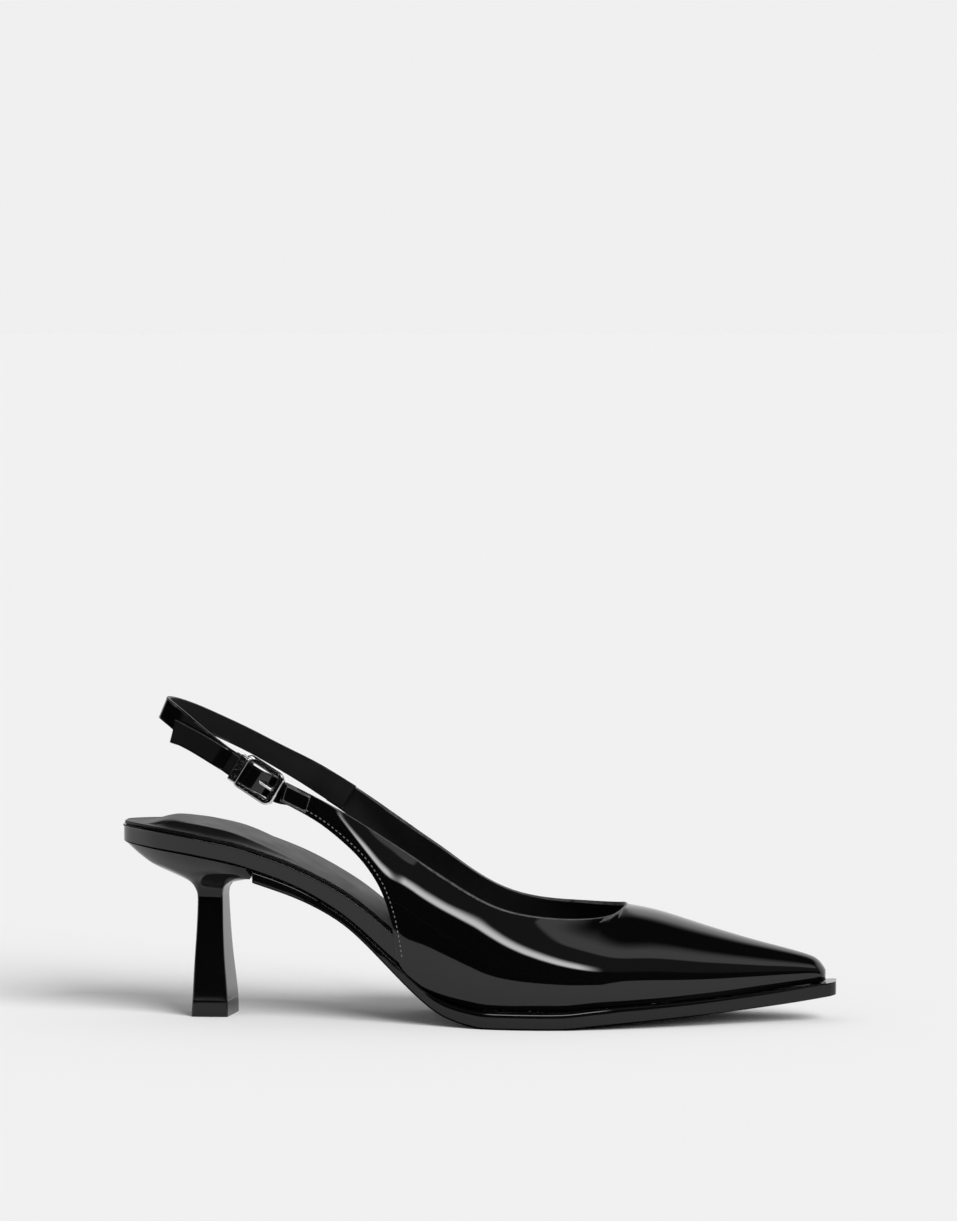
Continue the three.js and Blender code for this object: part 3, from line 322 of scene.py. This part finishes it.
def skin(node, finishes, radius, corner=35, joined=(60, 90), paint=None, fit=2):
    """A smooth piece that replaces a solid. Paint says which faces get which of the finishes."""
    mesh = merged_copy(node, *joined)
    rounded = round_corners(mesh, radius, corner) if radius else []
    if paint:
        paint(mesh, rounded)
    piece = finish_piece(node + "_skin", mesh, finishes)
    fit_cage(piece, fit)
    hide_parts(node)
    return piece


# %% [markdown]
# The upper is one wall: patent outside, a painted edge round its rim and a soft lining inside.
# A face belongs to the rim where two of its edges are sharp. It is inside where it looks back to
# the middle of its own cross-section. The broad faces are relaxed a little, so that the gloss
# runs over them without ripples.

# %% Upper
PATENT, LINING, EDGE = 0, 1, 2
SLICE = 8 * MM
MIDDLE_DROP = 3 * MM
RIM_CORNER = 50
RIM_END = 60 * MM
RIM_RADIUS = 0.35 * MM
upper_mesh = merged_copy("upper")
slices = {}
for vert in upper_mesh.verts:
    slices.setdefault(round(vert.co.x / SLICE), []).append(vert.co)
middles = {
    key: Vector((key * SLICE, 0, (min(c.z for c in ring) + max(c.z for c in ring)) / 2 - MIDDLE_DROP))
    for key, ring in slices.items()
}
for face in upper_mesh.faces:
    centre = face.calc_center_median()
    middle = middles[min(middles, key=lambda k: abs(k * SLICE - centre.x))]
    corners = [e for e in face.edges if e.calc_face_angle(0) > math.radians(RIM_CORNER)]
    if len(corners) >= 2 and face.normal.z > -0.2 and centre.x < RIM_END:
        face.material_index = EDGE
    elif face.normal.dot(middle - centre) > 0.3 * (middle - centre).length:
        face.material_index = LINING
    else:
        face.material_index = PATENT
relax(upper_mesh, 40, 3)
for face in round_corners(upper_mesh, RIM_RADIUS, RIM_CORNER):
    if face.normal.z > 0.3:
        face.material_index = EDGE
upper = finish_piece("upper_skin", upper_mesh, [patent, lining, edge_paint])
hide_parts("upper")

# %% [markdown]
# The sole, the footbed under the sock, the sock, the heel and its tip are each one smooth skin.
# Their corners are rounded as a real edge is, by a third to half a millimetre.

# %% Sole, footbed, insole, heel and tip
SLIM_QUADS = (40, 70)
outsole = skin("outsole", [gloss], 0.5 * MM)
footbed = skin("footbed", [patent], 0.4 * MM)
insole = skin("insole", [sock], 0.3 * MM, 45)
heel = skin("heel", [gloss], 0.3 * MM, 45, joined=SLIM_QUADS, fit=1)
top_lift = skin("top_lift", [gloss], 0.25 * MM)

# %% [markdown]
# The straps are patent on their outer face and lined on the face that touches the foot. Their cut
# edges are painted, which gives each strap a fine light line along its upper edge.

# %% Straps and tab
ANKLE = Vector((-72 * MM, 0, 0))
LEATHERS = [patent, lining, edge_paint]


def paint_strap(mesh, rounded):
    for face in mesh.faces:
        centre = face.calc_center_median()
        inward = (ANKLE - centre) * Vector((1, 1, 0))
        if abs(face.normal.z) > 0.68:
            face.material_index = EDGE
        elif face.normal.dot(inward.normalized()) > 0.35:
            face.material_index = LINING


def paint_edges(mesh, rounded):
    for face in mesh.faces:
        if face.normal.z > 0.55:
            face.material_index = EDGE


def paint_border(mesh, rounded):
    for face in rounded:
        face.material_index = EDGE


back_strap = skin("back_strap", LEATHERS, 0.2 * MM, joined=SLIM_QUADS, paint=paint_strap)
front_strap = skin("front_strap", LEATHERS, 0.2 * MM, joined=SLIM_QUADS, paint=paint_edges)
strap_tab = skin("strap_tab", LEATHERS, 0.22 * MM, paint=paint_border)

# %% [markdown]
# The buckle is polished steel with flat bars. Flat faces stay flat and mirror the dark front of
# the studio, and only their rounded edges catch the light. The frame's thinnest direction, found
# from the spread of its vertices, is the direction its face looks in.

# %% Buckle
BAR_RADIUS = 0.14 * MM


def middle_and_axes(node):
    """A solid's points, its middle, and its long, middle and short directions."""
    points = numpy.array([v.co[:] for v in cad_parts[node].data.vertices])
    spread = numpy.linalg.svd(points - points.mean(axis=0), full_matrices=False)[2]
    return points, Vector(points.mean(axis=0)), [Vector(axis) for axis in spread]


BUCKLE_FACE = middle_and_axes("buckle_frame")[2][2]


def metal_piece(node, radius):
    mesh = merged_copy(node)
    rounded = set(round_corners(mesh, radius, 25, segments=3))
    flat = [abs(f.normal.dot(BUCKLE_FACE)) > 0.97 and f not in rounded for f in mesh.faces]
    piece = finish_piece(node + "_skin", mesh, [steel], levels=0)
    for polygon, is_flat in zip(piece.data.polygons, flat):
        polygon.use_smooth = not is_flat
    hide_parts(node)
    return piece


buckle_frame = metal_piece("buckle_frame", BAR_RADIUS)
buckle_keeper = metal_piece("buckle_keeper", BAR_RADIUS)
buckle_prong = skin("buckle_prong", [steel], radius=0)

# %% [markdown]
# Small parts are carried along a path. A tube is made of circles joined by bridges, and a seam is
# a row of short rounded stitches, laid on the surface that a ray from outside the shoe meets.

# %% Tubes and seams
RAY_START = 60 * MM


def spaced(points, pitch):
    """Points at even steps along a smooth curve through the given points."""
    fine = []
    for i in range(len(points) - 1):
        before, start = points[max(i - 1, 0)], points[i]
        end, after = points[i + 1], points[min(i + 2, len(points) - 1)]
        for n in range(12):
            t = n / 12
            square = 2 * before - 5 * start + 4 * end - after
            cube = 3 * start - before - 3 * end + after
            fine.append((2 * start + (end - before) * t + square * t * t + cube * t ** 3) / 2)
    fine.append(points[-1])
    even, spare = [fine[0]], 0.0
    for start, end in zip(fine, fine[1:]):
        length = (end - start).length
        while spare + length >= pitch:
            start = start + (end - start).normalized() * (pitch - spare)
            length = (end - start).length
            even.append(start)
            spare = 0.0
        spare += length
    return even


def tube(mesh, path, radius, segments=10):
    """A closed round tube along a path."""
    loops = []
    for n, place in enumerate(path):
        ahead = (path[min(n + 1, len(path) - 1)] - path[max(n - 1, 0)]).normalized()
        turn = ahead.to_track_quat("Z", "Y").to_matrix().to_4x4()
        made = bmesh.ops.create_circle(mesh, segments=segments, radius=radius,
                                       matrix=Matrix.Translation(place) @ turn)
        loops.append({e for v in made["verts"] for e in v.link_edges})
    for first, second in zip(loops, loops[1:]):
        bmesh.ops.bridge_loops(mesh, edges=list(first | second))
    bmesh.ops.holes_fill(mesh, edges=list(loops[0] | loops[-1]), sides=segments)
    bmesh.ops.recalc_face_normals(mesh, faces=mesh.faces)


def surface_of(piece):
    """The finished surface of a piece, for rays to hit."""
    bpy.context.view_layer.update()
    return BVHTree.FromObject(piece, bpy.context.evaluated_depsgraph_get())


def stitch(mesh, place, ahead, normal, length, radius):
    """One stitch: a small long ball, flattened on the leather."""
    side = normal.cross(ahead).normalized()
    turn = Matrix((ahead, side, normal)).transposed().to_4x4()
    size = Matrix.Diagonal((length / 2, radius, radius * 0.7, 1))
    bmesh.ops.create_uvsphere(mesh, u_segments=8, v_segments=6, radius=1.0,
                              matrix=Matrix.Translation(place) @ turn @ size)


def seam(mesh, path, surface, length, radius, outside=Vector((0, -1, 0))):
    """Lays a stitch on the surface between each two points of the path, and counts them."""
    laid = 0
    for start, end in zip(path, path[1:]):
        hit, normal, _, _ = surface.ray_cast((start + end) / 2 + outside * RAY_START, -outside)
        if hit:
            ahead = end - start
            ahead = (ahead - normal * ahead.dot(normal)).normalized()
            stitch(mesh, hit + normal * radius * 0.2, ahead, normal, length, radius)
            laid += 1
    return laid


# %% [markdown]
# The quarter is stitched along its back edge, one and a half millimetres in, and the tab all round.
# The quarter's edge is listed, from its narrow end down to the sole.

# %% Stitches
QUARTER_EDGE = [
    (-68, 78.6), (-66.1, 77.7), (-59.2, 74.2), (-52.3, 70.1), (-45.4, 64.6), (-38.5, 58.1),
    (-35.0, 53.6), (-32.2, 49.2), (-30.1, 44.6), (-27.9, 37.6), (-26.5, 30.4), (-25.3, 22.4),
]
SEAM_INSET = 1.5 * MM
QUARTER_PITCH = 1.7 * MM
QUARTER_STITCH = 1.15 * MM
edge_line = spaced([Vector((x, 0, z)) * MM for x, z in QUARTER_EDGE], QUARTER_PITCH)
inner_line = []
for start, end in zip(edge_line, edge_line[1:]):
    ahead = (end - start).normalized()
    inner_line.append((start + end) / 2 + Vector((-ahead.z, 0, ahead.x)) * SEAM_INSET)
stitches = bmesh.new()
laid = seam(stitches, inner_line, surface_of(upper), QUARTER_STITCH, radius=0.24 * MM)
quarter_seam = finish_piece("quarter_seam", stitches, [thread], 1)

TAB_PITCH = 1.35 * MM
TAB_STITCH = 0.9 * MM
TAB_END_INSET, TAB_SIDE_INSET = 1 * MM, 0.9 * MM
TAB_OUTLINE = [
    (-1, -0.6), (-1, 0.6), (-0.9, 1), (0.9, 1), (1, 0.6),
    (1, -0.6), (0.9, -1), (-0.9, -1), (-1, -0.6),
]
tab_points, tab_middle, tab_axes = middle_and_axes("strap_tab")
tab_length, tab_width = [
    max(abs(Vector(p).dot(axis) - tab_middle.dot(axis)) for p in tab_points) for axis in tab_axes[:2]
]
outline = []
for along, across in TAB_OUTLINE:
    end_step = tab_axes[0] * along * (tab_length - TAB_END_INSET)
    side_step = tab_axes[1] * across * (tab_width - TAB_SIDE_INSET)
    outline.append(tab_middle + end_step + side_step)
stitches = bmesh.new()
tab_line = spaced(outline, TAB_PITCH)
laid += seam(stitches, tab_line, surface_of(strap_tab), TAB_STITCH, radius=0.2 * MM)
tab_seam = finish_piece("tab_seam", stitches, [thread], 1)
print("stitches laid:", laid)

# %% [markdown]
# A thin piping runs round the seat, on the band's upper edge. Its path is the widest vertex of
# each of the footbed's own cross-sections.

# %% Piping round the seat
PIPING_END = -22 * MM
PIPING_RADIUS = 0.42 * MM
PIPING_LIFT = Vector((0, 0, 0.25 * MM))
NARROWEST = 4 * MM
widest = {}
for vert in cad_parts["footbed"].data.vertices:
    if vert.co.x < PIPING_END:
        key = round(vert.co.x / MM, 2)
        low, high = widest.get(key, (vert.co, vert.co))
        low = vert.co if vert.co.y < low.y else low
        high = vert.co if vert.co.y > high.y else high
        widest[key] = (low, high)
rings = [widest[key] for key in sorted(widest)]
near_side = [low.copy() for low, high in reversed(rings) if high.y - low.y > NARROWEST]
far_side = [high.copy() for low, high in rings if high.y - low.y > NARROWEST]
bead = bmesh.new()
tube(bead, [p + PIPING_LIFT for p in spaced(near_side + far_side, 1.5 * MM)], PIPING_RADIUS)
piping = finish_piece("seat_piping", bead, [patent], 1)

# %% [markdown]
# The floor is plain and pale. It reaches far enough to meet a sky of the same tone, so no line
# shows behind the shoe. Most of its light is a soft sun from the front and the right, so the
# shoe's shadow falls behind it and a little to the left.

# %% Floor
FLOOR_RADIUS = 60.0
floor_mesh = bmesh.new()
bmesh.ops.create_circle(floor_mesh, cap_ends=True, segments=96, radius=FLOOR_RADIUS)
floor_data = bpy.data.meshes.new("floor")
floor_mesh.to_mesh(floor_data)
floor_mesh.free()
floor = bpy.data.objects.new("floor", floor_data)
bpy.context.scene.collection.objects.link(floor)
paper = new_finish("paper_floor", Base_Color=grey(0.87), Roughness=0.9, Specular_IOR_Level=0.0)
speck = paper.node("TexNoise", {}, {"Vector": paper.place, "Scale": 300.0})
paper.set(Roughness=speck * 0.1 + 0.85)
floor_data.materials.append(paper.material)

# %% [markdown]
# Patent leather is photographed by what it mirrors. The room that the shoe mirrors is drawn by
# direction: dark all round, with a pale wall behind the shoe, a dim one above the camera, one card
# high on the right and one narrow bright strip low over the camera. The strip is crisp below and
# fades out above. The camera and matte surfaces see a plain pale room instead.

# %% Studio light
PAPER_WHITE = 0.87
SUN_SHARE = 0.6
world = bpy.data.worlds.new("studio")
bpy.context.scene.world = world
world.use_nodes = True
studio = Finish(world.node_tree, "Background", "OutputWorld")
diffuse_ray = studio.node("LightPath", out=2)
mirror_ray = studio.node("LightPath", out=3)
direction = studio.node("TexCoord")
east = studio.node("SeparateXYZ", {}, {0: direction}, out=0)
north = studio.node("SeparateXYZ", {}, {0: direction}, out=1)
height = studio.node("SeparateXYZ", {}, {0: direction}, out=2)


def fade(value, start, end):
    """From 0 at start to 1 at end, with soft ends."""
    settings = {"interpolation_type": "SMOOTHSTEP"}
    return studio.node("MapRange", settings, {"Value": value, "From Min": start, "From Max": end})


STRIP_LIGHT = 12.0
WALL_LIGHT = 0.9
DIM_LIGHT = 0.12
ROOM_LIGHT = 0.004
back_wall = (fade(north, -0.05, 0.2) * (1 - fade(height, 0.55, 0.8)) * fade(east, -0.6, -0.25)
             * WALL_LIGHT)
dim_wall = (fade(height, 0.2, 0.26) * (1 - fade(height, 0.7, 0.85)) * (1 - fade(north, -0.1, 0.1))
            * DIM_LIGHT)
card = (fade(height, 0.53, 0.57) * (1 - fade(height, 0.68, 0.9)) * fade(east + north * 0.36, -0.03, 0.05)
        * (1 - fade(north, -0.3, -0.1)) * WALL_LIGHT)
strip = (fade(height, 0.2, 0.235) * (1 - fade(height, 0.25, 0.33)) * fade(east, -0.5, -0.4)
         * (1 - fade(east, 0.30, 0.42)) * (1 - fade(north, -0.6, -0.5)) * STRIP_LIGHT)
mirrored = back_wall + dim_wall + card + strip + ROOM_LIGHT
open_sky = diffuse_ray * (1 - SUN_SHARE - PAPER_WHITE) + PAPER_WHITE
sky_level = mirrored * mirror_ray + open_sky * (1 - mirror_ray)
studio.set(Color=studio.node("CombineColor", {}, {0: sky_level, 1: sky_level, 2: sky_level}))

sun_data = bpy.data.lights.new("soft_sun", "SUN")
sun_data.angle = math.radians(40)
SUN_FROM = Vector((0.8, -0.85, 0.7)).normalized()
sun_data.energy = SUN_SHARE * math.pi / SUN_FROM.z
sun = bpy.data.objects.new("soft_sun", sun_data)
bpy.context.scene.collection.objects.link(sun)
sun.rotation_euler = SUN_FROM.to_track_quat("Z", "Y").to_euler()
sun.visible_glossy = False

# %% [markdown]
# A black card lies flat in front of the shoe. Only mirrors see it. It ends the pale floor's
# reflection along the side of the upper.

# %% Black card
CARD_BACK, CARD_RIGHT, CARD_REACH = -205 * MM, 120 * MM, 40.0
CARD_HEIGHT = 0.5 * MM
CARD_SPREAD = math.tan(math.radians(30))
card_mesh = bmesh.new()
bmesh.ops.create_grid(card_mesh, x_segments=1, y_segments=1, size=CARD_REACH / 2)
card_shift = Vector((CARD_RIGHT - CARD_REACH / 2, CARD_BACK - CARD_REACH / 2, CARD_HEIGHT))
bmesh.ops.translate(card_mesh, vec=card_shift, verts=card_mesh.verts)
far_right = [v for v in card_mesh.verts if v.co.x > 0 and v.co.y < -1]
bmesh.ops.translate(card_mesh, vec=(CARD_REACH * CARD_SPREAD, 0, 0), verts=far_right)
card_data = bpy.data.meshes.new("black_card")
card_mesh.to_mesh(card_data)
card_mesh.free()
black_card = bpy.data.objects.new("black_card", card_data)
bpy.context.scene.collection.objects.link(black_card)
felt = new_finish("black_felt", Base_Color=grey(0.002), Roughness=1.0, Specular_IOR_Level=0.0)
nap = felt.node("TexNoise", {}, {"Vector": felt.place, "Scale": 400.0})
felt.set(Roughness=nap * 0.1 + 0.9)
card_data.materials.append(felt.material)
black_card.visible_camera = False
black_card.visible_diffuse = False
black_card.visible_shadow = False
